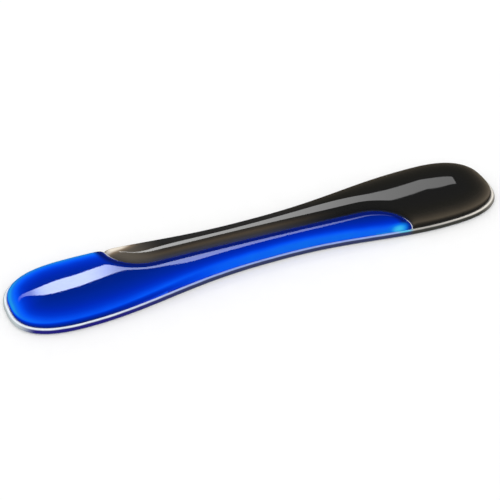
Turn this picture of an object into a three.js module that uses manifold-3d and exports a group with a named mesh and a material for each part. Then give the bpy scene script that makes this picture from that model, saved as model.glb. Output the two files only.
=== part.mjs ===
// Two-tone gel wrist rest for a full-size keyboard, in millimetres, +Z up.
// The origin is on the desk, under the middle of the rest. X runs along the rest, and -Y faces the user.
//
// From the desk up: a non-slip base sheet, an adhesive film, a carrier sheet, and two comma-shaped gel
// cores that lie head to tail, each under its own film skin. A thin web keeps the two gels apart along
// the S-shaped seam, and a clear rim runs all round. The smoke gel is the blue gel turned half round.

import * as THREE from 'three';
import { mergeVertices } from 'three/addons/utils/BufferGeometryUtils.js';
import Module from 'manifold-3d';

// ---- plan outline ----
const LENGTH = 480;
const LOBE_WIDTH = 89.8;
const WAIST_WIDTH = 55.6;
const LOBE_STATION = 173.2;    // distance from the middle to the widest point of a lobe
const WAIST_FLOW = 1.2;        // 1 is a plain cosine waist; more makes the waist longer
const END_SQUARENESS = 2.64;   // superellipse exponent of the round ends

// ---- heights ----
const RIM_TOP = 4.9;
const WAIST_CROWN = 15;        // top of the dome over the waist, before the seam valley
const LOBE_CROWN = 13.5;
const WAIST_FLATNESS = 9;      // the higher, the wider the flat top of the cross section
const LOBE_FLATNESS = 8;
const WAIST_SIDE = 7;          // the higher, the steeper the side under the shoulder
const LOBE_SIDE = 2.2;

// ---- seam between the two gels ----
const SEAM_TIP = 137.5;        // the seam reaches the rim at this distance from the middle
const SEAM_TURN = 98.7;        // from here on it turns towards the rim on a quarter ellipse
const SEAM_SLOPE = 0.044;      // gentle slope of its long middle stretch
const VALLEY_DEPTH = 0.52;     // share of the dome's height lost at the seam
const VALLEY_ROLL = 16.6;      // distance over which a pad rolls down into the valley
const VALLEY_POWER = 6;        // the higher, the narrower the valley

// ---- layers and clearances ----
const RIM_WIDTH = 3.3;
const RIM_SHOULDER = 2.6;      // width of the rounded shoulder, outwards from the crown
const RIM_SIDE_TOP = 1.5;      // the shoulder ends this high, and the rim's side is upright below it
const BASE_THICKNESS = 1;
const BASE_INSET = 0.6;
const ADHESIVE_THICKNESS = 0.2;
const CARRIER_THICKNESS = 0.5;
const SKIN_THICKNESS = 0.6;
const WEB_THICKNESS = 0.5;
const WEB_SHARE = 0.95;        // the web stops just below the bottom of the valley
const WEB_END_GAP = 0.03;
const GAP = 0.3;

// ---- mesh fineness ----
const STATIONS_PER_STRETCH = 15;
const STRIPS_ACROSS = 10;
const OUTLINE_STEPS = 48;      // steps along one long side of the outline
const RIM_SHOULDER_STEPS = 4;
const SEAM_SAMPLES = 48;

const ADHESIVE_BOTTOM = BASE_THICKNESS;
const CARRIER_BOTTOM = ADHESIVE_BOTTOM + ADHESIVE_THICKNESS;
const GEL_BOTTOM = CARRIER_BOTTOM + CARRIER_THICKNESS + GAP;
const PAD_INSET = RIM_WIDTH + GAP;
const HALF_LENGTH = LENGTH / 2;

const wasm = await Module();
wasm.setup();

// A cosine ease from 0 to 1.
function ease(t) {
  return (1 - Math.cos(Math.PI * Math.min(Math.max(t, 0), 1))) / 2;
}

// How far along from waist (0) to lobe (1) a station is.
function lobeShare(x) {
  return ease((Math.abs(x) / LOBE_STATION) ** WAIST_FLOW);
}

// Half the width of the outline drawn in by inset, at station x.
function halfWidth(x, inset) {
  const lobe = LOBE_WIDTH / 2 - inset;
  const waist = WAIST_WIDTH / 2 - inset;
  const past = Math.abs(x) - LOBE_STATION;
  if (past <= 0) {
    return waist + (lobe - waist) * lobeShare(x);
  }
  const s = Math.min(past / (HALF_LENGTH - inset - LOBE_STATION), 1);
  return lobe * (1 - s ** END_SQUARENESS) ** (1 / END_SQUARENESS);
}

// The seam's y at station x. It falls all the way from the rear rim (x < 0) to the front rim (x > 0).
const SEAM_RISE = halfWidth(SEAM_TIP, RIM_WIDTH) - SEAM_SLOPE * SEAM_TIP;

function seamY(x) {
  const reach = Math.min(Math.abs(x), SEAM_TIP);
  const s = Math.max(reach - SEAM_TURN, 0) / (SEAM_TIP - SEAM_TURN);
  const rise = SEAM_RISE * (1 - Math.sqrt(1 - s * s));
  return -Math.sign(x) * (SEAM_SLOPE * reach + rise);
}

// Stations from a to b, closer together at both ends.
function stretch(a, b, count) {
  const list = [];
  for (let i = 0; i < count; i += 1) {
    list.push(a + (b - a) * ease(i / count));
  }
  return list;
}

const seamLine = [...stretch(-SEAM_TIP, SEAM_TIP, SEAM_SAMPLES), SEAM_TIP]
  .map((x) => new THREE.Vector2(x, seamY(x)));

function distanceToSeam(x, y) {
  const point = new THREE.Vector2(x, y);
  let nearest = Infinity;
  for (let i = 1; i < seamLine.length; i += 1) {
    const start = seamLine[i - 1];
    const along = seamLine[i].clone().sub(start);
    const t = point.clone().sub(start).dot(along) / along.lengthSq();
    const foot = start.clone().addScaledVector(along, Math.min(Math.max(t, 0), 1));
    nearest = Math.min(nearest, foot.distanceTo(point));
  }
  return nearest;
}

// Height of the domed surface above the rim's top, for an outline drawn in by inset.
function domeRise(x, y, inset) {
  const share = lobeShare(x);
  const crown = THREE.MathUtils.lerp(WAIST_CROWN, LOBE_CROWN, share) - RIM_TOP;
  const flatness = THREE.MathUtils.lerp(WAIST_FLATNESS, LOBE_FLATNESS, share);
  const sideSteepness = THREE.MathUtils.lerp(WAIST_SIDE, LOBE_SIDE, share);
  const past = Math.max(Math.abs(x) - LOBE_STATION, 0) / (HALF_LENGTH - inset - LOBE_STATION);
  const side = past > 0 ? LOBE_WIDTH / 2 - inset : halfWidth(x, inset);
  const across = Math.abs(y) / side;
  const radius = Math.min((past ** END_SQUARENESS + across ** END_SQUARENESS) ** (1 / END_SQUARENESS), 1);
  const dome = crown * (1 - radius ** flatness) ** (1 / sideSteepness);
  const roll = Math.max(1 - distanceToSeam(x, y) / VALLEY_ROLL, 0);
  return dome * (1 - VALLEY_DEPTH * roll ** VALLEY_POWER);
}

// A closed solid skinned over loops of points, each loop with the same count. A ring of loops joins up
// with itself; otherwise the two end loops are capped. Corners that meet are merged, and the triangles
// that this flattens are dropped, so a loop may shrink to a line.
function loft(loops, isRing) {
  const count = loops[0].length;
  const triangles = [];
  const spans = isRing ? loops.length : loops.length - 1;
  for (let i = 0; i < spans; i += 1) {
    const a = i * count;
    const b = ((i + 1) % loops.length) * count;
    for (let j = 0; j < count; j += 1) {
      const k = (j + 1) % count;
      triangles.push([a + j, b + j, b + k], [a + j, b + k, a + k]);
    }
  }
  if (!isRing) {
    const end = (loops.length - 1) * count;
    for (let j = 2; j < count; j += 1) {
      triangles.push([0, j - 1, j], [end, end + j, end + j - 1]);
    }
  }
  const loose = new THREE.BufferGeometry();
  loose.setAttribute('position', new THREE.Float32BufferAttribute(loops.flat(2), 3));
  loose.setIndex(triangles.flat());
  const geometry = mergeVertices(loose, 1e-3);
  const merged = geometry.getIndex().array;
  const kept = [];
  for (let i = 0; i < merged.length; i += 3) {
    const [p, q, r] = merged.slice(i, i + 3);
    if (p !== q && q !== r && r !== p) {
      kept.push(p, q, r);
    }
  }
  geometry.setIndex(kept);
  return geometry;
}

// The blue pad as one solid: flat below, walled up to the rim's top, domed above. inset draws its sides
// in and its top down. Each loop is a slice across the pad, from the front foot over to the rear foot.
function padSolid(inset, bottom) {
  const edge = PAD_INSET + inset;
  const shift = WEB_THICKNESS / 2 + GAP + inset;
  const wall = RIM_TOP - inset;
  const leftEnd = edge - HALF_LENGTH;
  const corner = -SEAM_TIP - shift;
  const front = (x) => -halfWidth(x, edge);
  const rear = (x) => (x < corner ? -front(x) : Math.min(-front(x), seamY(x + shift) - shift));

  // The tail ends where the seam side meets the front side.
  let tip = SEAM_TURN;
  for (let step = (SEAM_TIP - SEAM_TURN) / 2; step > 1e-4; step /= 2) {
    if (rear(tip + step) > front(tip + step)) {
      tip += step;
    }
  }

  const stations = [
    ...stretch(leftEnd, corner, STATIONS_PER_STRETCH),
    ...stretch(corner, 0, STATIONS_PER_STRETCH),
    ...stretch(0, tip, STATIONS_PER_STRETCH),
    tip,
  ];
  const loops = stations.map((x) => {
    const isEnd = x === leftEnd || x === tip;
    const low = front(x);
    const high = isEnd ? low : rear(x);
    const loop = [[x, low, bottom]];
    for (let j = 0; j <= STRIPS_ACROSS; j += 1) {
      const y = low + (high - low) * ease(j / STRIPS_ACROSS);
      const rise = isEnd ? 0 : domeRise(x, y, edge);
      loop.push([x, y, wall + rise]);
    }
    loop.push([x, high, bottom]);
    return loop;
  });
  return loft(loops, false);
}

// The outline drawn in by inset, once round, starting at the right-hand end.
function outline(inset) {
  const points = [];
  for (let i = 0; i < OUTLINE_STEPS * 2; i += 1) {
    const turn = (Math.PI * i) / OUTLINE_STEPS;
    const x = (HALF_LENGTH - inset) * Math.cos(turn);
    points.push(new THREE.Vector2(x, Math.sign(Math.sin(turn)) * halfWidth(x, inset)));
  }
  return points;
}

function sheet(inset, bottom, thickness) {
  const geometry = new THREE.ExtrudeGeometry(new THREE.Shape(outline(inset)), {
    depth: thickness,
    bevelEnabled: false,
    steps: 1,
  });
  geometry.translate(0, 0, bottom);
  return geometry;
}

// The rim: a bead with its crown near the pads and a rounded shoulder down to its outer edge, swept
// once round the outline.
function rimRing() {
  const section = [[0, ADHESIVE_BOTTOM]];
  for (let i = 0; i <= RIM_SHOULDER_STEPS; i += 1) {
    const turn = (Math.PI / 2) * (i / RIM_SHOULDER_STEPS);
    section.push([
      RIM_SHOULDER * (1 - Math.cos(turn)),
      RIM_SIDE_TOP + (RIM_TOP - RIM_SIDE_TOP) * Math.sin(turn),
    ]);
  }
  section.push([RIM_WIDTH, RIM_TOP], [RIM_WIDTH, ADHESIVE_BOTTOM]);
  const rails = section.map(([inset, z]) => outline(inset).map(({ x, y }) => [x, y, z]));
  const loops = rails[0].map((_, i) => rails.map((rail) => rail[i]));
  return loft(loops, true);
}

// The upright web between the two gels. It follows the seam a little below the bottom of the valley.
function seamWeb() {
  const half = WEB_THICKNESS / 2;
  const reach = SEAM_TIP - WEB_END_GAP;
  const stations = [...stretch(-reach, reach, SEAM_SAMPLES), reach];
  const loops = stations.map((x) => {
    const y = seamY(x);
    const top = RIM_TOP - GAP + WEB_SHARE * domeRise(x, y, PAD_INSET);
    const near = [x - half * Math.SQRT1_2, y - half * Math.SQRT1_2];
    const far = [x + half * Math.SQRT1_2, y + half * Math.SQRT1_2];
    return [[...near, GEL_BOTTOM], [...near, top], [...far, top], [...far, GEL_BOTTOM]];
  });
  return loft(loops, false);
}

function toManifold(geometry) {
  return new wasm.Manifold(new wasm.Mesh({
    numProp: 3,
    vertProperties: geometry.getAttribute('position').array,
    triVerts: Uint32Array.from(geometry.getIndex().array),
  }));
}

// The film skin over a pad: the pad's outer solid with a smaller pad taken out from below.
function padSkin() {
  const outside = toManifold(padSolid(0, GEL_BOTTOM));
  const inside = toManifold(padSolid(SKIN_THICKNESS, GEL_BOTTOM - 1));
  const { vertProperties, triVerts } = outside.subtract(inside).getMesh();
  const geometry = new THREE.BufferGeometry();
  geometry.setAttribute('position', new THREE.Float32BufferAttribute(vertProperties, 3));
  geometry.setIndex(Array.from(triVerts));
  return geometry;
}

const wristRest = new THREE.Group();

function add(name, geometry, { color, roughness }, halfTurn = false) {
  const material = new THREE.MeshStandardMaterial({ color, roughness, metalness: 0 });
  const mesh = new THREE.Mesh(geometry, material);
  mesh.name = name;
  mesh.rotation.z = halfTurn ? Math.PI : 0;
  wristRest.add(mesh);
}

const BLUE_FILM = { color: 0x0a3ae0, roughness: 0.08 };
const BLUE_GEL = { color: 0x0628a8, roughness: 0.2 };
const SMOKE_FILM = { color: 0x24231f, roughness: 0.08 };
const SMOKE_GEL = { color: 0x1c1b18, roughness: 0.2 };
const CLEAR_FILM = { color: 0xdfe6ee, roughness: 0.1 };
const PALE_ADHESIVE = { color: 0xe8e6dc, roughness: 0.5 };
const FROSTED_SHEET = { color: 0xe4e7ea, roughness: 0.45 };
const GRIP_SHEET = { color: 0xcfd2d4, roughness: 0.8 };

add('non_slip_base', sheet(BASE_INSET, 0, BASE_THICKNESS), GRIP_SHEET);
add('adhesive_film', sheet(PAD_INSET, ADHESIVE_BOTTOM, ADHESIVE_THICKNESS), PALE_ADHESIVE);
add('carrier_sheet', sheet(PAD_INSET, CARRIER_BOTTOM, CARRIER_THICKNESS), FROSTED_SHEET);
add('clear_rim', rimRing(), CLEAR_FILM);
add('seam_web', seamWeb(), CLEAR_FILM);
add('gel_core_blue', padSolid(SKIN_THICKNESS + GAP, GEL_BOTTOM), BLUE_GEL);
add('film_skin_blue', padSkin(), BLUE_FILM);
add('gel_core_smoke', padSolid(SKIN_THICKNESS + GAP, GEL_BOTTOM), SMOKE_GEL, true);
add('film_skin_smoke', padSkin(), SMOKE_FILM, true);

export default wristRest;
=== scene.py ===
# %% [markdown]
# # A two-tone gel wrist rest
#
# The object is a long, waisted cushion that lies in front of a keyboard. Two soft gel pads, one blue and one
# smoke grey, lie head to tail and meet along an S-shaped seam. A clear rim runs all round, and a pale
# non-slip sheet is underneath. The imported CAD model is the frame: it says where everything is and how big it
# is. This script makes what the eye sees, around that frame.

# %% Load the frame
import math

import bmesh
import bpy
import numpy as np
from mathutils import Matrix, Vector


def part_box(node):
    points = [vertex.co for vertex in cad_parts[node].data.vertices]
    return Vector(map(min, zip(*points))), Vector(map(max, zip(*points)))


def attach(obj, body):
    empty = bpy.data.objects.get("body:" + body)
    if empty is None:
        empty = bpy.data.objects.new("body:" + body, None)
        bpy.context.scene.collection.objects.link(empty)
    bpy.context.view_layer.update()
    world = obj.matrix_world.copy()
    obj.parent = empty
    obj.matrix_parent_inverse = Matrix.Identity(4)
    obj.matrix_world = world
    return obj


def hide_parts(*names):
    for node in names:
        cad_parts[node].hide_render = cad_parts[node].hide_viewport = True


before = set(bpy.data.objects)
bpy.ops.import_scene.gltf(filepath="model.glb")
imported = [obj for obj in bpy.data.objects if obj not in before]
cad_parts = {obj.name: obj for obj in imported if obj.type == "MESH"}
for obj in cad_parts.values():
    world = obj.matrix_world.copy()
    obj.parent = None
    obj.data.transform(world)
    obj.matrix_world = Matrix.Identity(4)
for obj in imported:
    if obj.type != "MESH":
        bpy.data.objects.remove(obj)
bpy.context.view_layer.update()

# %% [markdown]
# ## Sizes from the frame
#
# Every size that the CAD model's boxes hold is read from them, so the visual pieces fit with nothing nudged
# by hand. Blender works in metres, and small details are easier to read in millimetres, so the one name MM
# turns the one into the other.

# %% Sizes
MM = 0.001
GAP = 0.3 * MM
rim_low, rim_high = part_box("clear_rim")
skin_low, skin_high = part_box("film_skin_blue")

half_length = rim_high.x
lobe_half = rim_high.y
rim_bottom = rim_low.z
rim_top = rim_high.z
pad_bottom = skin_low.z
rim_width = half_length + skin_low.x - GAP
print(f"half length {half_length / MM:.1f}, half lobe {lobe_half / MM:.1f}, rim {rim_width / MM:.2f} mm")

# %% [markdown]
# ## The plan outline
#
# The outline is a dog bone. Between the two widest stations the edge is a cosine wave, which is how a
# smooth waist is usually drawn, and past them each end is half a superellipse: a little squarer than a
# circle. Drawing the same outline in by an inset gives the line of the rim's crown and the edge of the pads,
# all parallel. These are the same formulas as in the CAD model, so the two agree everywhere.

# %% Outline
waist_half = 27.8 * MM
lobe_station = 173.2 * MM
waist_flow = 1.2
end_squareness = 2.64


def ease(t):
    """0 to 1 along a cosine."""
    return (1 - np.cos(np.pi * np.clip(t, 0, 1))) / 2


def mix(a, b, t):
    return a + (b - a) * t


def lobe_share(x):
    """0 at the waist and 1 from the widest station of a lobe outwards."""
    return ease((np.abs(x) / lobe_station) ** waist_flow)


def past_station(x, inset):
    """0 up to the widest station of a lobe, and 1 at its end."""
    return np.clip((np.abs(x) - lobe_station) / (half_length - inset - lobe_station), 0, 1)


def half_width(x, inset=0.0):
    """Half the width of the outline, drawn in by inset, at station x."""
    lobe, waist = lobe_half - inset, waist_half - inset
    past = past_station(x, inset)
    end = (1 - past**end_squareness) ** (1 / end_squareness)
    return np.where(past > 0, lobe * end, mix(waist, lobe, lobe_share(x)))


print("half width at the waist and the lobes, mm:", half_width(np.array([0.0, lobe_station])) / MM)

# %% [markdown]
# ## The seam
#
# The two pads meet on a long, nearly straight line that turns towards the rim at each end on a quarter
# ellipse, like the line in a yin and yang. It looks the same after half a turn, so the two pads are one
# shape. Later steps need points spread evenly along lines, and the distance from a point to a line, so those
# two helpers come here.

# %% Seam
seam_tip = 137.5 * MM
seam_turn = 98.7 * MM
seam_slope = 0.044
seam_rise = float(half_width(np.array(seam_tip), rim_width)) - seam_slope * seam_tip


def seam_y(x):
    """The seam's y at station x. It falls from the rear rim on the left to the front rim on the right."""
    reach = np.minimum(np.abs(x), seam_tip)
    turned = np.clip((reach - seam_turn) / (seam_tip - seam_turn), 0, 1)
    return -np.sign(x) * (seam_slope * reach + seam_rise * (1 - np.sqrt(1 - turned**2)))


def spread(xs, ys, count):
    """count points spread evenly along the line through (xs, ys)."""
    run = np.concatenate([[0], np.cumsum(np.hypot(np.diff(xs), np.diff(ys)))])
    at = np.linspace(0, run[-1], count)
    return np.column_stack([np.interp(at, run, xs), np.interp(at, run, ys)])


def nearest_on(line, points):
    """Each point's distance to a line of points, and the direction from the point to it."""
    best = np.full(len(points), np.inf)
    towards = np.zeros_like(points)
    for start, end in zip(line[:-1], line[1:]):
        along = end - start
        t = np.clip(((points - start) @ along) / (along @ along), 0, 1)
        step = start + t[:, None] * along - points
        far = np.hypot(*step.T)
        closer = far < best
        best[closer] = far[closer]
        towards[closer] = step[closer]
    return best, towards / np.maximum(best, 1e-9)[:, None]


seam_fine_x = seam_tip * np.sin(np.linspace(-np.pi / 2, np.pi / 2, 2001))
seam_line = spread(seam_fine_x, seam_y(seam_fine_x), 400)
print(f"seam length {np.hypot(*np.diff(seam_line, axis=0).T).sum() / MM:.0f} mm")

# %% [markdown]
# ## The domed surface
#
# One height formula covers the whole rest. Across the rest it is a superellipse with a wide flat top and
# round shoulders, steeper at the waist than over the lobes. A narrow valley is then rolled into it along the
# seam, where the two skins are drawn down to the web between them.

# %% Height of the surface
waist_crown, lobe_crown = 15 * MM, 13.5 * MM
waist_flatness, lobe_flatness = 9, 8
waist_side, lobe_side = 7, 2.2
valley_depth = 0.52
valley_roll = 16.6 * MM
valley_power = 6


def surface_height(x, y, inset):
    """Height of the pads' surface at (x, y), for pads whose edge is the outline drawn in by inset."""
    share = lobe_share(x)
    crown = mix(waist_crown, lobe_crown, share) - rim_top
    flatness = mix(waist_flatness, lobe_flatness, share)
    side_steepness = mix(waist_side, lobe_side, share)
    past = past_station(x, inset)
    side = np.where(past > 0, lobe_half - inset, half_width(x, inset))
    across = np.abs(y) / side
    radius = np.clip((past**end_squareness + across**end_squareness) ** (1 / end_squareness), 0, 1)
    dome = crown * (1 - radius**flatness) ** (1 / side_steepness)
    to_seam, _ = nearest_on(seam_line, np.column_stack([x, y]))
    roll = np.clip(1 - to_seam / valley_roll, 0, 1)
    return rim_top + dome * (1 - valley_depth * roll**valley_power)


# %% [markdown]
# ## Turning a bmesh into a piece
#
# Each piece is finished the same way: points that coincide are merged, the normals are turned outwards, and
# the faces are shaded smooth, with a sharp break where two faces meet at a steep angle. Measures that a
# material needs, such as how far a point is from the edge, are stored on the points as named attributes.
# The frame has one fixed body, root, and every piece rides on it.

# %% Finishing a piece
MERGE = 0.002 * MM
SHARP = math.radians(60)


def finish_piece(bm, name, material, replaced, measures):
    bmesh.ops.remove_doubles(bm, verts=bm.verts, dist=MERGE)
    bmesh.ops.dissolve_degenerate(bm, edges=bm.edges, dist=MERGE)
    bmesh.ops.recalc_face_normals(bm, faces=bm.faces)
    for face in bm.faces:
        face.smooth = True
    for edge in bm.edges:
        edge.smooth = edge.calc_face_angle(0) < SHARP
    open_edges = sum(1 for e in bm.edges if not e.is_manifold)
    mesh = bpy.data.meshes.new(name)
    bm.to_mesh(mesh)
    bm.free()
    where = np.empty(3 * len(mesh.vertices))
    mesh.vertices.foreach_get("co", where)
    for label, values in measures(where.reshape(-1, 3)).items():
        mesh.attributes.new(label, "FLOAT", "POINT").data.foreach_set("value", values.astype(np.float32))
    piece = bpy.data.objects.new(name, mesh)
    bpy.context.scene.collection.objects.link(piece)
    mesh.materials.append(material)
    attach(piece, "root")
    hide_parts(*replaced)
    print(f"{name}: {len(mesh.polygons)} faces, {open_edges} open edges")
    return piece


def place_grid(bm, columns, rows, points):
    """Lay a flat grid of quads on points, an array of (columns + 1, rows + 1, 3)."""
    bmesh.ops.create_grid(bm, x_segments=columns, y_segments=rows, size=1)
    for vert in bm.verts:
        column = round((vert.co.x + 1) / 2 * columns)
        row = round((vert.co.y + 1) / 2 * rows)
        vert.co = points[column, row]


# %% [markdown]
# ## Colours and nodes
#
# Colours are written as sRGB hex codes, the way a designer notes them, and one function turns them into the
# linear values that shaders use. A second small function adds any node with its settings and links, so a
# material reads as a list of what it is made of.

# %% Colours and nodes
def colour(hex_code):
    """An sRGB hex colour as the linear colour that shaders use."""
    channels = [int(hex_code[i : i + 2], 16) / 255 for i in (1, 3, 5)]
    linear = [c / 12.92 if c <= 0.04045 else ((c + 0.055) / 1.055) ** 2.4 for c in channels]
    return (*linear, 1.0)


def add_node(tree, kind, inputs=None, **settings):
    """Add a node. settings are its options, and inputs maps a socket's name or number to what goes in.

    That is a value, another node's output, or another node, which stands for its first output.
    """
    made = tree.nodes.new(kind)
    for option, value in settings.items():
        setattr(made, option, value)
    for socket, value in (inputs or {}).items():
        source = value.outputs[0] if isinstance(value, bpy.types.Node) else value
        if isinstance(source, bpy.types.NodeSocket):
            tree.links.new(source, made.inputs[socket])
        else:
            made.inputs[socket].default_value = source
    return made


def set_ramp(ramp, stops):
    """Give a colour ramp its stops, each a position and a hex colour."""
    elements = ramp.color_ramp.elements
    elements[0].position, elements[0].color = stops[0][0], colour(stops[0][1])
    elements[1].position, elements[1].color = stops[-1][0], colour(stops[-1][1])
    for position, hex_code in stops[1:-1]:
        elements.new(position).color = colour(hex_code)


def new_material(name):
    """An empty node material and its tree."""
    material = bpy.data.materials.new(name)
    material.use_nodes = True
    material.node_tree.nodes.clear()
    return material, material.node_tree


# %% [markdown]
# ## How thick gel takes its colour, as painted light and shade
#
# The pads are clear coloured polyurethane gel under a clear film. Light falls in from above and from the
# sides, so the gel is dark where it is thick and light has far to go, and it glows where it is thin: along
# the rim, and in the pointed tail. A refracting shader with absorption could be used, but an exported model
# loses the absorption, and with it the colour. So this light and shade is painted into the gel's colour
# instead. Each pad stores measures on its points: glow, how much light comes through, which drives the
# painted light and shade; seam, the distance to the seam in millimetres; and tip, how near the tail's point
# is, which places a painted glow there.
#
# The painted glow fades with the distance from the edge, as light does in a tinted solid. It reaches further
# in from the far side than from the user's side, because light leaves the pad towards the user.

# %% Measures on the pads
# Painted light: the painted glow's strength at the edge, its extra gain and reach in the tail, and the width
# of the painted crease shade.
EDGE_GLOW = 1.1
TAIL_GAIN = 0.08
TAIL_REACH = 5 * MM
CREASE_SHADE_WIDTH = 1.6 * MM


def pad_measures(head, tip_glow, tip_reach, reach_lobe, reach_waist, glow_scale, gains):
    """A function that gives each point's glow, seam and tip. head is -1 or 1, the end of the pad's head."""
    far_gain, end_gain, waist_gain = gains
    outline_turn = np.linspace(0, 2 * np.pi, 1200)
    outline_x = (half_length - edge_inset) * np.cos(outline_turn)
    outline_y = np.sign(np.sin(outline_turn)) * half_width(outline_x, edge_inset)
    outline = spread(outline_x, outline_y, 700)

    def measures(points):
        plan = points[:, :2]
        share = lobe_share(plan[:, 0])
        to_edge, direction = nearest_on(outline, plan)
        to_seam, _ = nearest_on(seam_line, plan)
        in_head = (plan[:, 0] * head > 0).astype(float)
        reach = mix(reach_waist, np.where(in_head > 0, reach_lobe, TAIL_REACH), share)
        # Painted light: the glow is stronger from the far side and at the ends, and changes by its gains at
        # the waist and in the tail.
        strength = EDGE_GLOW * np.exp(far_gain * direction[:, 1])
        head_strength = mix(1 + waist_gain, 1, share)
        tail_strength = 1 + mix(waist_gain, TAIL_GAIN, share)
        strength *= np.where(in_head > 0, head_strength, tail_strength)
        strength *= np.exp(end_gain * np.abs(direction[:, 0]) * past_station(plan[:, 0], 0) ** 0.5)
        # Painted shade: the glow darkens in the crease where each head's gel meets the rim.
        crease_shade = mix(1.0, np.clip(to_edge / CREASE_SHADE_WIDTH, 0, 1), share * in_head)
        glow = glow_scale * strength * np.exp(-to_edge / reach) * crease_shade
        # tip places a painted glow round the tail's point.
        tip = np.exp(-(np.hypot(*((plan - tip_glow) / tip_reach).T) ** 2))
        return {"glow": np.clip(glow, 0, 1), "seam": to_seam / MM, "tip": tip}

    return measures


# %% [markdown]
# ## The gel materials
#
# Thermoplastic polyurethane film over gel is smooth and glossy: its IOR is about 1.47 and its roughness is
# a few hundredths, so lamps mirror in it with crisp edges. The film is not perfectly even. A very shallow
# ripple, about 30 mm long and a few microns deep, keeps the reflections from looking ruled, and a fine
# breakup in the roughness stands for handling. The colour runs along a ramp, driven by the glow, so the ramp
# paints the gel's light and shade.

# %% Gel
FILM_IOR = 1.47
# Roughness of the gel's film between its smoothest and its most handled places.
GEL_GLOSS = (0.006, 0.016)
# Clouds in the gel: their size in millimetres, and the share by which they change the glow.
GEL_CLOUDS = (25, 0.12)


def film_surface(tree, base_colour, smoothest, roughest, mirrored="#FFFFFF"):
    """Glossy polyurethane film over a base colour. mirrored is the tint that its reflections take."""
    where = add_node(tree, "ShaderNodeTexCoord").outputs["Object"]
    # Handling marks some 6 mm across: they only vary the gloss.
    marks = add_node(tree, "ShaderNodeTexNoise", {"Vector": where, "Scale": 1 / (6 * MM), "Detail": 3.0})
    gloss = add_node(
        tree,
        "ShaderNodeMapRange",
        {
            "Value": marks.outputs["Fac"],
            "From Min": 0.3,
            "From Max": 0.7,
            "To Min": smoothest,
            "To Max": roughest,
        },
    )
    ripple = add_node(tree, "ShaderNodeTexNoise", {"Vector": where, "Scale": 1 / (30 * MM), "Detail": 1.0})
    bump = add_node(
        tree, "ShaderNodeBump", {"Height": ripple.outputs["Fac"], "Strength": 1.0, "Distance": 0.004 * MM}
    )
    shader = add_node(
        tree,
        "ShaderNodeBsdfPrincipled",
        {
            "Base Color": base_colour,
            "Roughness": gloss.outputs["Result"],
            "IOR": FILM_IOR,
            "Specular Tint": colour(mirrored),
            "Normal": bump.outputs["Normal"],
        },
    )
    add_node(tree, "ShaderNodeOutputMaterial", {"Surface": shader.outputs["BSDF"]})


def lay_over(tree, under, over, driver, start, end):
    """Colour over laid on colour under: none of it where driver is at start, and all of it at end.

    A colour is a hex code or an output. driver is the name of a stored measure, or a node or output.
    """
    if isinstance(driver, str):
        driver = add_node(tree, "ShaderNodeAttribute", attribute_name=driver).outputs["Fac"]
    share = add_node(
        tree,
        "ShaderNodeMapRange",
        {"Value": driver, "From Min": start, "From Max": end},
        interpolation_type="SMOOTHSTEP",
    )
    lower, upper = (colour(paint) if isinstance(paint, str) else paint for paint in (under, over))
    return add_node(tree, "ShaderNodeMix", {0: share, 6: lower, 7: upper}, data_type="RGBA").outputs[2]


def cloudy(tree, label, size_mm, amount):
    """A stored measure, made slightly uneven by soft clouds, as cast gel is."""
    stored = add_node(tree, "ShaderNodeAttribute", attribute_name=label).outputs["Fac"]
    where = add_node(tree, "ShaderNodeTexCoord").outputs["Object"]
    scale = 1 / (size_mm * MM)
    clouds = add_node(tree, "ShaderNodeTexNoise", {"Vector": where, "Scale": scale, "Detail": 2.0})
    change = add_node(
        tree,
        "ShaderNodeMapRange",
        {"Value": clouds.outputs["Fac"], "To Min": 1 - amount, "To Max": 1 + amount},
    )
    return add_node(tree, "ShaderNodeMath", {0: stored, 1: change}, operation="MULTIPLY")


def blue_gel_material():
    material, tree = new_material("blue polyurethane gel under glossy film")
    glow = cloudy(tree, "glow", *GEL_CLOUDS)
    painted_glow_ramp = add_node(tree, "ShaderNodeValToRGB", {"Fac": glow})
    # Painted light and shade: navy where the gel is thick, ultramarine half way, and azure where light comes
    # through.
    set_ramp(
        painted_glow_ramp,
        [(0, "#001F7C"), (0.08, "#002598"), (0.25, "#002AB8"), (0.4, "#0036CE"), (0.56, "#024CEE"),
         (0.7, "#0860FA"), (0.88, "#1274EE"), (1, "#1E92E8")],
    )
    # Painted shade: navy on the slope beside the seam. Distances to the seam are in millimetres.
    shaded = lay_over(tree, painted_glow_ramp.outputs["Color"], "#06186A", "seam", 12.5, 6.5)
    # Painted glow round the tail's point: azure, then pale cyan.
    painted_azure_glow = lay_over(tree, shaded, "#0A78EC", "tip", 0.05, 0.6)
    lit = lay_over(tree, painted_azure_glow, "#48D2FA", "tip", 0.4, 1.0)
    # Painted shade right at the seam, a lighter navy than the band beside it.
    lit = lay_over(tree, lit, "#0A2C98", "seam", 6, 1.5)
    # The gel under the film is so blue that the lamp's reflection looks periwinkle on it.
    film_surface(tree, lit, *GEL_GLOSS, mirrored="#B2C8FF")
    return material


# How far from the seam the painted light in the smoke gel's tail reaches, in millimetres.
SEAM_PAINTED_LIGHT_REACH = 20


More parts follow.
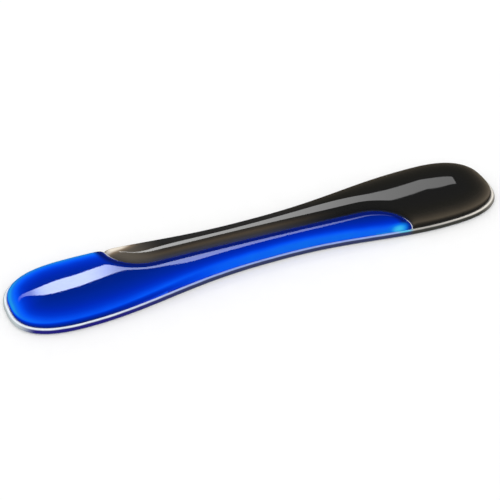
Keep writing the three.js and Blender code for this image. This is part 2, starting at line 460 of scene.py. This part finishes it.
def smoke_gel_material():
    material, tree = new_material("smoke polyurethane gel under glossy film")
    glow = cloudy(tree, "glow", *GEL_CLOUDS)
    painted_glow_ramp = add_node(tree, "ShaderNodeValToRGB", {"Fac": glow})
    # Painted light and shade: nearly black where the gel is thick, and a warm brown where light comes through.
    set_ramp(
        painted_glow_ramp,
        [(0, "#1B1B1B"), (0.1, "#1F1E1B"), (0.2, "#262420"), (0.35, "#332F29"), (0.5, "#433D34"),
         (0.7, "#564E43"), (1, "#736A5E")],
    )
    # Painted light: the tail is thin and glows brown. It is blue close to the seam, painted where the other
    # gel shows through.
    to_seam = add_node(tree, "ShaderNodeAttribute", attribute_name="seam").outputs["Fac"]
    seam_share = add_node(tree, "ShaderNodeMath", {0: to_seam, 1: SEAM_PAINTED_LIGHT_REACH}, operation="DIVIDE")
    from_seam = add_node(tree, "ShaderNodeValToRGB", {"Fac": seam_share})
    set_ramp(
        from_seam,
        [(0, "#444F78"), (0.06, "#434558"), (0.12, "#403E3E"), (0.25, "#4B4237"), (0.36, "#3A342D"),
         (0.5, "#2C2A27"), (0.7, "#252422"), (1, "#282828")],
    )
    where = add_node(tree, "ShaderNodeTexCoord").outputs["Object"]
    along = add_node(tree, "ShaderNodeSeparateXYZ", {0: where}).outputs["X"]
    # Painted light: a blue-grey line right at the seam, where the blue gel shows through.
    seam_show_through = lay_over(tree, painted_glow_ramp.outputs["Color"], "#2A3350", "seam", 1.4, 0.3)
    # The seam's painted light covers the waist and the tail.
    seam_painted_light = lay_over(tree, seam_show_through, from_seam.outputs["Color"], along, 0.09, -0.01)
    # Painted glow: the far part of the tail is a lighter brown.
    tail_painted_glow = lay_over(tree, seam_painted_light, "#5A544C", along, -0.085, -0.125)
    # Painted glow round the tail's point: warm brown, then nearly white.
    warm_tip_glow = lay_over(tree, tail_painted_glow, "#8C7A66", "tip", 0.05, 0.7)
    lit = lay_over(tree, warm_tip_glow, "#F0E6D6", "tip", 0.45, 0.95)
    film_surface(tree, lit, *GEL_GLOSS)
    return material


blue_gel = blue_gel_material()
smoke_gel = smoke_gel_material()

# %% [markdown]
# ## The pads
#
# A pad could be lofted from slices, but its surface has one formula, so a flat grid is the better start. The
# grid is stretched between the pad's front edge and its rear edge: its columns run along the pad, closing up
# towards the tail's point, and its rows run across. The height formula then lifts it. Walls are extruded
# down from its border to the carrier sheet, and one face closes it below. The smoke pad is the blue pad
# turned half round.

# %% Pads
COLUMNS, ROWS = 440, 72
PAD_GAP = 0.02 * MM
SEAM_GAP = 0.25 * MM
HEAD_COLUMNS = int(COLUMNS * 0.3)
edge_inset = rim_width + PAD_GAP
pad_left = edge_inset - half_length
pad_corner = -seam_tip - SEAM_GAP


def seam_side(x):
    return seam_y(x + SEAM_GAP) - SEAM_GAP


# The tail's point is where the seam side meets the front edge.
tail_scan = np.linspace(seam_turn, seam_tip, 20001)
tail_x = tail_scan[seam_side(tail_scan) > -half_width(tail_scan, edge_inset)][-1]
tail_point = np.array([tail_x, -float(half_width(tail_x, edge_inset))])
print("tail's point at, mm:", tail_point / MM)


def pad_points():
    """The grid of points of the blue pad's top, one row of it for each column of the grid."""
    fine = ease(np.linspace(0, 1, 4001))
    front_x = mix(pad_left, tail_x, fine)
    rear_x = mix(pad_left, pad_corner, fine)
    seam_x = mix(pad_corner, tail_x, fine)
    front_y = -half_width(front_x, edge_inset)
    tail_y = np.minimum(seam_side(seam_x), half_width(seam_x, edge_inset))
    tail_y[-1] = front_y[-1]
    split = np.searchsorted(front_x, pad_corner)
    head, tail = HEAD_COLUMNS, COLUMNS + 2 - HEAD_COLUMNS
    front_head = spread(front_x[: split + 1], front_y[: split + 1], head)[:-1]
    front_tail = spread(front_x[split:], front_y[split:], tail)
    rear_head = spread(rear_x, half_width(rear_x, edge_inset), head)[:-1]
    rear_tail = spread(seam_x, tail_y, tail)
    front = np.vstack([front_head, front_tail])[:, None]
    rear = np.vstack([rear_head, rear_tail])[:, None]
    across = ease(np.linspace(0, 1, ROWS + 1))[None, :, None]
    plan = mix(front, rear, across)
    height = surface_height(plan[..., 0].ravel(), plan[..., 1].ravel(), edge_inset).reshape(plan.shape[:2])
    return np.dstack([plan, height])


top_points = pad_points()


def make_pad(name, half_turn, material, replaced, measures):
    bm = bmesh.new()
    place_grid(bm, COLUMNS, ROWS, top_points)
    bmesh.ops.remove_doubles(bm, verts=bm.verts, dist=MERGE)
    border = [e for e in bm.edges if e.is_boundary]
    walls = bmesh.ops.extrude_edge_only(bm, edges=border)["geom"]
    for vert in (g for g in walls if isinstance(g, bmesh.types.BMVert)):
        vert.co.z = pad_bottom
    bmesh.ops.contextual_create(bm, geom=[e for e in bm.edges if e.is_boundary])
    if half_turn:
        bmesh.ops.rotate(bm, verts=bm.verts, matrix=Matrix.Rotation(math.pi, 3, "Z"), cent=(0, 0, 0))
    piece = finish_piece(bm, name, material, replaced, measures)
    return piece


# Where each pad's painted glow round the tail's point sits and how far it reaches, and the reach and gains of
# each pad's painted glow from its edge.
blue_tip_glow = tail_point + np.array([-15, 0.5]) * MM
smoke_tip_glow = -tail_point + np.array([10, -6]) * MM
blue_tip_reach = np.array([11, 3.4]) * MM
smoke_tip_reach = np.array([17, 6.5]) * MM
blue_gains, smoke_gains = (0.42, 0.14, 0.08), (0.12, 0.4, -0.4)
blue_measures = pad_measures(-1, blue_tip_glow, blue_tip_reach, 10.5 * MM, 6.5 * MM, 1.0, blue_gains)
smoke_measures = pad_measures(1, smoke_tip_glow, smoke_tip_reach, 7.5 * MM, 5 * MM, 0.8, smoke_gains)
blue_parts = ("gel_core_blue", "film_skin_blue")
smoke_parts = ("gel_core_smoke", "film_skin_smoke")
make_pad("blue_gel_pad", False, blue_gel, blue_parts, blue_measures)
make_pad("smoke_gel_pad", True, smoke_gel, smoke_parts, smoke_measures)

# %% [markdown]
# ## The clear rim
#
# The films are welded together round the edge into a solid bead of clear polyurethane. A bead like this
# works as a lens: its crown gathers light and looks almost white, and its foot shows the tint of the gel
# behind it, navy round the blue pad and grey round the smoke one. Both are painted into the bead's colour:
# a painted highlight along the crown and painted shade at the foot, with painted light at the two ends and a
# painted glow beside the blue tail's point. The section is swept round the outline as a grid that joins up
# with itself.

# %% Rim
RIM_COLUMNS = 720
SHOULDER_STEPS = 16
rim_shoulder = 2.6 * MM
rim_side_top = 1.5 * MM
INNER_LIP = 0.35 * MM
COLOUR_CHANGE = 5 * MM
RIM_GLOW_BACK, RIM_GLOW_REACH = 7 * MM, 8 * MM


def rim_measures(points):
    x, y, z = points.T
    front = y < 0
    blue = np.where(front, tail_point[0] - x, -tail_point[0] - x) / COLOUR_CHANGE
    # tip places a painted glow on the bead beside the blue tail's point.
    tip = np.exp(-((np.hypot(x - tail_point[0] + RIM_GLOW_BACK, y - tail_point[1]) / RIM_GLOW_REACH) ** 2))
    return {
        "crown": np.clip((z - rim_side_top) / (rim_top - rim_side_top), 0, 1),
        "blue": np.clip(blue, 0, 1),
        "along": x / half_length,
        "tip": tip,
    }


def rim_material():
    material, tree = new_material("clear polyurethane weld bead")
    blue = add_node(tree, "ShaderNodeAttribute", attribute_name="blue").outputs["Fac"]
    # Painted shade at the foot: navy beside the blue pad and grey beside the smoke one, with painted light at
    # the two ends.
    painted_foot_blue = lay_over(tree, "#24207A", "#383E62", "along", -0.7, -0.25)
    painted_foot_blue = lay_over(tree, painted_foot_blue, "#BCC6C8", "along", -0.93, -0.99)
    painted_foot_smoke = lay_over(tree, "#3C3C38", "#8C8880", "along", 0.86, 0.97)
    painted_feet = {0: blue, 6: painted_foot_smoke, 7: painted_foot_blue}
    painted_foot = add_node(tree, "ShaderNodeMix", painted_feet, data_type="RGBA").outputs[2]
    # Painted highlight along the crown: nearly white towards the ends, and taking the gel's tint in the
    # middle.
    crown_highlight_blue = lay_over(tree, "#F0F8FF", "#A8BCF0", "along", -0.75, -0.2)
    crown_highlight_smoke = lay_over(tree, "#C0BDB8", "#F0EAE0", "along", 0.6, 0.95)
    crown_highlights = {0: blue, 6: crown_highlight_smoke, 7: crown_highlight_blue}
    crown = add_node(tree, "ShaderNodeMix", crown_highlights, data_type="RGBA").outputs[2]
    # Painted cyan glow on the crown beside the blue tail's point.
    crown = lay_over(tree, crown, "#6ED8F4", "tip", 0.2, 1.0)
    # The crown measure, a little uneven, lays the painted highlight over the painted shade of the foot.
    bead = lay_over(tree, painted_foot, crown, cloudy(tree, "crown", 12, 0.06), 0.68, 0.95)
    film_surface(tree, bead, 0.03, 0.06)
    return material


def make_rim():
    turns = np.linspace(0, math.pi / 2, SHOULDER_STEPS)
    section = [(0.0, rim_bottom)]
    section += [(rim_shoulder * (1 - math.cos(t)), mix(rim_side_top, rim_top, math.sin(t))) for t in turns]
    section += [(rim_width, rim_top - INNER_LIP), (rim_width, rim_bottom), (0.0, rim_bottom)]
    turn = np.linspace(0, 2 * np.pi, 4001)
    rails = []
    for inset, z in section:
        x = (half_length - inset) * np.cos(turn)
        y = np.sign(np.sin(turn)) * half_width(x, inset)
        y[[0, 2000, 4000]] = 0
        rail = spread(x, y, RIM_COLUMNS + 1)
        rails.append(np.column_stack([rail, np.full(len(rail), z)]))
    bm = bmesh.new()
    place_grid(bm, RIM_COLUMNS, len(section) - 1, np.stack(rails, axis=1))
    return finish_piece(bm, "rim_bead", rim_material(), ("clear_rim",), rim_measures)


make_rim()

# %% [markdown]
# ## The seam's weld line
#
# Along the seam the two skins are welded to the web that keeps the gels apart. What shows is a thin cord of
# clear polyurethane at the bottom of the valley. Its colour is painted: painted shade between the thick parts
# of the pads, and round each tail's point, where it comes up to the rim, a painted highlight as a fine pale
# line.

# %% Seam bead
BEAD_COLUMNS, BEAD_SIDES = 360, 12
BEAD_RADIUS = 0.45 * MM
bead_run = spread(seam_fine_x, seam_y(seam_fine_x), BEAD_COLUMNS + 1)


def bead_measures(points):
    return {"along": np.abs(points[:, 0]) / seam_tip}


def bead_material():
    material, tree = new_material("clear polyurethane weld line")
    # Painted shade along the seam, turning into a painted highlight near each end.
    tone = lay_over(tree, "#1A2140", "#E8ECF0", cloudy(tree, "along", 8, 0.01), 0.8, 0.97)
    film_surface(tree, tone, 0.3, 0.4)
    return material


def make_seam_bead():
    height = surface_height(bead_run[:, 0], bead_run[:, 1], edge_inset)
    along = np.gradient(bead_run, axis=0)
    along /= np.hypot(*along.T)[:, None]
    side = np.column_stack([along[:, 1], -along[:, 0]])
    turns = np.linspace(0, 2 * math.pi, BEAD_SIDES + 1)
    rings = []
    for turn in turns:
        plan = bead_run + side * BEAD_RADIUS * math.cos(turn)
        rings.append(np.column_stack([plan, height + BEAD_RADIUS * math.sin(turn)]))
    bm = bmesh.new()
    place_grid(bm, BEAD_COLUMNS, BEAD_SIDES, np.stack(rings, axis=1))
    bmesh.ops.remove_doubles(bm, verts=bm.verts, dist=MERGE)
    bmesh.ops.holes_fill(bm, edges=[e for e in bm.edges if e.is_boundary], sides=0)
    return finish_piece(bm, "seam_bead", bead_material(), ("seam_web",), bead_measures)


make_seam_bead()

# %% [markdown]
# ## The sheets underneath
#
# The carrier film, the adhesive and the non-slip sheet keep their CAD shapes, because a flat sheet with the
# right outline is already the real thing. Only the non-slip sheet shows. It is a soft polyurethane with a
# fine matt grain, which stops it from sliding on a desk.

# %% Sheets
def sheet_material(name, dark, light, roughness, grain_mm, relief_mm):
    material, tree = new_material(name)
    where = add_node(tree, "ShaderNodeTexCoord").outputs["Object"]
    grain = add_node(tree, "ShaderNodeTexVoronoi", {"Vector": where, "Scale": 1 / (grain_mm * MM)})
    mottle = add_node(tree, "ShaderNodeTexNoise", {"Vector": where, "Scale": 1 / (18 * MM), "Detail": 4.0})
    tones = {0: mottle.outputs["Fac"], 6: colour(dark), 7: colour(light)}
    tone = add_node(tree, "ShaderNodeMix", tones, data_type="RGBA").outputs[2]
    bump = add_node(
        tree,
        "ShaderNodeBump",
        {"Height": grain.outputs["Distance"], "Distance": relief_mm * MM, "Strength": 1.0},
    )
    shader = add_node(
        tree,
        "ShaderNodeBsdfPrincipled",
        {"Base Color": tone, "Roughness": roughness, "Normal": bump.outputs["Normal"]},
    )
    add_node(tree, "ShaderNodeOutputMaterial", {"Surface": shader.outputs["BSDF"]})
    return material


# The real grain is about 0.3 mm, drawn as 1.2 mm so that it shows.
grip_sheet = sheet_material("matt non-slip polyurethane sheet", "#C6CACD", "#DADDDF", 0.75, 1.2, 0.15)
frosted_sheet = sheet_material("frosted polyurethane carrier film", "#E6E9EC", "#F2F4F5", 0.5, 1.0, 0.02)
pale_adhesive = sheet_material("pale pressure-sensitive adhesive", "#EBE8DE", "#F3F1E9", 0.5, 2.0, 0.02)
for node_name, finish in (
    ("non_slip_base", grip_sheet),
    ("carrier_sheet", frosted_sheet),
    ("adhesive_film", pale_adhesive),
):
    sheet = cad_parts[node_name].data
    sheet.materials.clear()
    sheet.materials.append(finish)
print("sheets:", grip_sheet.name, frosted_sheet.name, pale_adhesive.name)

# %% [markdown]
# ## The camera
#
# A long lens, from the front left and above, about 40 degrees down: the way such a rest is shown in a
# catalogue. Its direction comes from the two angles, and the camera backs away from its aim along it.

# %% Camera
CAMERA_TURN, CAMERA_TILT = math.radians(23.24), math.radians(39.48)
CAMERA_REACH = 1.3053
CAMERA_AIM = Vector((-0.01458, -0.01169, 0.008))
SENSOR = 36
LENS_PER_FRAME = 2.8762

look = Vector(
    (
        math.sin(CAMERA_TURN) * math.cos(CAMERA_TILT),
        math.cos(CAMERA_TURN) * math.cos(CAMERA_TILT),
        -math.sin(CAMERA_TILT),
    )
)
camera_data = bpy.data.cameras.new("camera")
camera_data.sensor_width = SENSOR
camera_data.lens = LENS_PER_FRAME * SENSOR
camera_data.clip_start = 0.01
camera = bpy.data.objects.new("camera", camera_data)
camera.location = CAMERA_AIM - look * CAMERA_REACH
camera.rotation_euler = look.to_track_quat("-Z", "Y").to_euler()
bpy.context.scene.collection.objects.link(camera)
bpy.context.scene.camera = camera
print(f"lens {camera_data.lens:.1f} mm at {CAMERA_REACH:.2f} m")

# %% [markdown]
# ## The studio
#
# The rest lies on a white sweep under an even white dome. In a studio for glossy products the walls are
# black, so that only the lamps mirror in the surface. The world does both jobs: it is bright for everything
# but glossy rays, and nearly black for those.

# %% Floor and world
FLOOR_HALF = 8
DOME_LIGHT = 1.06
WALL_LIGHT = 0.02

bm = bmesh.new()
bmesh.ops.create_grid(bm, x_segments=1, y_segments=1, size=FLOOR_HALF)
floor_mesh = bpy.data.meshes.new("floor")
bm.to_mesh(floor_mesh)
bm.free()
floor = bpy.data.objects.new("floor", floor_mesh)
bpy.context.scene.collection.objects.link(floor)
floor_mesh.materials.append(sheet_material("matt white paper sweep", "#F8F8F8", "#FCFCFC", 0.9, 2, 0.01))
# Glossy rays pass through the floor, so the pads mirror the dark studio and their colours stay deep.
floor.visible_glossy = False

world = bpy.data.worlds.new("studio")
bpy.context.scene.world = world
world.use_nodes = True
tree = world.node_tree
tree.nodes.clear()
path = add_node(tree, "ShaderNodeLightPath")
dome = add_node(tree, "ShaderNodeBackground", {"Strength": DOME_LIGHT, "Color": (1, 1, 1, 1)})
walls = add_node(tree, "ShaderNodeBackground", {"Strength": WALL_LIGHT, "Color": (1, 1, 1, 1)})
studio = add_node(
    tree,
    "ShaderNodeMixShader",
    {0: path.outputs["Is Glossy Ray"], 1: dome.outputs[0], 2: walls.outputs[0]},
)
add_node(tree, "ShaderNodeOutputWorld", {"Surface": studio.outputs[0]})
bpy.context.scene.view_settings.view_transform = "Standard"

# %% [markdown]
# ## The strip lamp
#
# Glossy gel shows the shape of its lamp, so the lamp is designed last. It is a long strip softbox behind the
# rest and almost parallel to it. One plain rectangle would be the simplest lamp, but its band comes out too
# thick on the flat tops of the lobes. So cards narrow the opening towards the ends, and at the right-hand
# end it sits higher. A short bright tube a little right of the middle gives the hot spot, and the rest of
# the strip only glows. Opening and glow are drawn on the lamp, along its own two coordinates.

# %% Strip lamp
STRIP_LEFT, STRIP_RIGHT = -1.25, 1.05
STRIP_BEHIND = 1.2
STRIP_TILT = math.radians(41.3)
STRIP_TURN = math.radians(1.95)
STRIP_DEPTH = 0.15
STRIP_RADIANCE = 19
CARD_EDGE = 0.004
# The cards leave these shares of the strip's depth open, at its ends and in the stretch between.
END_LOWER, END_UPPER = 0.48, 0.64
MIDDLE_LOWER, MIDDLE_UPPER = 0.24, 0.84
# Where the opening widens and narrows again, each as a start and an end in metres along the strip.
WIDENS = (0.22, 0.4)
NARROWS = (0.92, 0.7)
# By how much the opening sits higher at the right-hand end, and where it climbs.
RIGHT_RISE = 0.11
CLIMBS = (0.88, 1.02)
# The tube's brightness, where it starts and where it stops.
TUBE_LEVEL = 0.56
TUBE_STARTS = (0.0, 0.12)
TUBE_STOPS = (0.25, 0.18)
# The glow of the rest of the strip at its left and right, where it starts, and where it changes.
LEFT_GLOW, RIGHT_GLOW = 0.42, 0.11
GLOW_STARTS = (-0.5, 0.2)
GLOW_CHANGES = (0.1, 1.1)

strip = bpy.data.lights.new("strip lamp", "AREA")
strip.shape = "RECTANGLE"
strip.size, strip.size_y = STRIP_RIGHT - STRIP_LEFT, STRIP_DEPTH
strip.energy = math.pi * strip.size * strip.size_y
strip.use_nodes = True
tree = strip.node_tree
tree.nodes.clear()


corner_place = add_node(tree, "ShaderNodeNewGeometry").outputs["Parametric"]
corner_place = add_node(tree, "ShaderNodeSeparateXYZ", {0: corner_place})
along = {0: corner_place.outputs["X"], 1: strip.size, 2: STRIP_LEFT}
along = add_node(tree, "ShaderNodeMath", along, operation="MULTIPLY_ADD")
# The lamp's own second coordinate runs downwards.
height = add_node(tree, "ShaderNodeMath", {0: 1.0, 1: corner_place.outputs["Y"]}, operation="SUBTRACT")

# What changes along the strip: between which two places, and from which value to which.
profiles = {}
for name, places, values in (
    ("widens", WIDENS, (0, 1)),
    ("narrows", NARROWS, (0, 1)),
    ("rise", CLIMBS, (0, RIGHT_RISE)),
    ("tube starts", TUBE_STARTS, (0, TUBE_LEVEL)),
    ("tube stops", TUBE_STOPS, (0, 1)),
    ("glow starts", GLOW_STARTS, (0, 1)),
    ("glow", GLOW_CHANGES, (LEFT_GLOW, RIGHT_GLOW)),
):
    limits = {"From Min": places[0], "From Max": places[1], "To Min": values[0], "To Max": values[1]}
    profiles[name] = add_node(
        tree, "ShaderNodeMapRange", {"Value": along, **limits}, interpolation_type="SMOOTHSTEP"
    )

wide, tube, glow = (
    add_node(tree, "ShaderNodeMath", {0: profiles[first], 1: profiles[second]}, operation="MULTIPLY")
    for first, second in (("widens", "narrows"), ("tube starts", "tube stops"), ("glow", "glow starts"))
)
radiance = add_node(tree, "ShaderNodeMath", {0: tube, 1: glow}, operation="ADD")
radiance = add_node(tree, "ShaderNodeMath", {0: radiance, 1: STRIP_RADIANCE}, operation="MULTIPLY")
# The lower card hides what is below its edge, and the upper card what is above.
for at_end, in_middle, inner_side in ((END_LOWER, MIDDLE_LOWER, 1), (END_UPPER, MIDDLE_UPPER, -1)):
    edge = {0: wide, 1: in_middle - at_end, 2: at_end}
    edge = add_node(tree, "ShaderNodeMath", edge, operation="MULTIPLY_ADD")
    edge = add_node(tree, "ShaderNodeMath", {0: edge, 1: profiles["rise"]}, operation="ADD")
    over_edge = add_node(tree, "ShaderNodeMath", {0: height, 1: edge}, operation="SUBTRACT")
    limits = {"From Min": -inner_side * CARD_EDGE, "From Max": inner_side * CARD_EDGE}
    shown = add_node(
        tree, "ShaderNodeMapRange", {"Value": over_edge, **limits}, interpolation_type="SMOOTHSTEP"
    )
    radiance = add_node(tree, "ShaderNodeMath", {0: radiance, 1: shown}, operation="MULTIPLY")
lamp = add_node(tree, "ShaderNodeEmission", {"Color": (1, 1, 1, 1), "Strength": radiance})
add_node(tree, "ShaderNodeOutputLight", {"Surface": lamp})
strip_object = bpy.data.objects.new("strip lamp", strip)
middle = Vector(((STRIP_LEFT + STRIP_RIGHT) / 2, STRIP_BEHIND, STRIP_BEHIND * math.tan(STRIP_TILT)))
turn_to_rest = Matrix.Rotation(STRIP_TURN, 4, "Z")
tip_down = Matrix.Rotation(STRIP_TILT - math.pi / 2, 4, "X")
strip_object.matrix_world = turn_to_rest @ Matrix.Translation(middle) @ tip_down
bpy.context.scene.collection.objects.link(strip_object)
print(f"strip lamp {strip.size:.2f} m long, {strip.size_y:.2f} m deep, {middle.z:.2f} m up")
